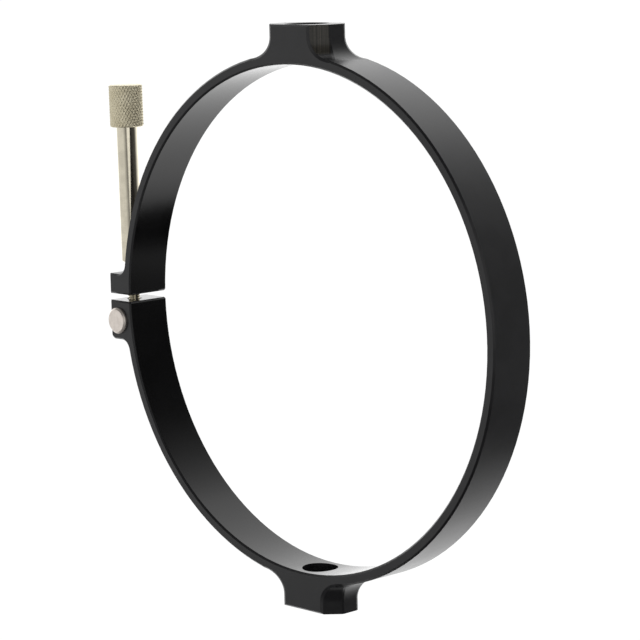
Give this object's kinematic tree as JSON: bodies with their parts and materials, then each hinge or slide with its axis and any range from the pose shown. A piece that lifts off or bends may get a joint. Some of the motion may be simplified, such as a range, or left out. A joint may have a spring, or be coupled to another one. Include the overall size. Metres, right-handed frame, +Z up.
{
  "type": "lens support clamp ring",
  "caption": "Thin split ring that closes round a lens with a thumb screw, with a threaded support boss above and below.",
  "frame": {"origin": "centre of the lens bore, half way through the ring's width", "axes": "+Y along the lens axis from the front face to the back face, +Z up through the two bosses, the slit and its ears at -X"},
  "size_m": [0.1255, 0.0124, 0.1314],
  "materials": {
    "black_anodised": "satin",
    "nut_steel": "satin",
    "screw_nickel": "knurled head, polished shank"
  },
  "bodies": {
    "ring": {"clamp_ring": "black_anodised"},
    "nut": {"barrel_nut": "nut_steel"},
    "screw": {"thumb_screw": "screw_nickel"}
  },
  "joints": [
    {"name": "nut_swivel", "type": "hinge", "parent": "ring", "child": "nut", "pos_m": [-0.06147, 0, -0.00535], "axis": [0, 1, 0], "range_deg": [-0.5, 0.9]},
    {"name": "screw_turn", "type": "hinge", "parent": "nut", "child": "screw", "pos_m": [-0.06147, -0.0006, -0.00535], "axis": [-0.0122, 0, 0.9999], "continuous": true}
  ]
}
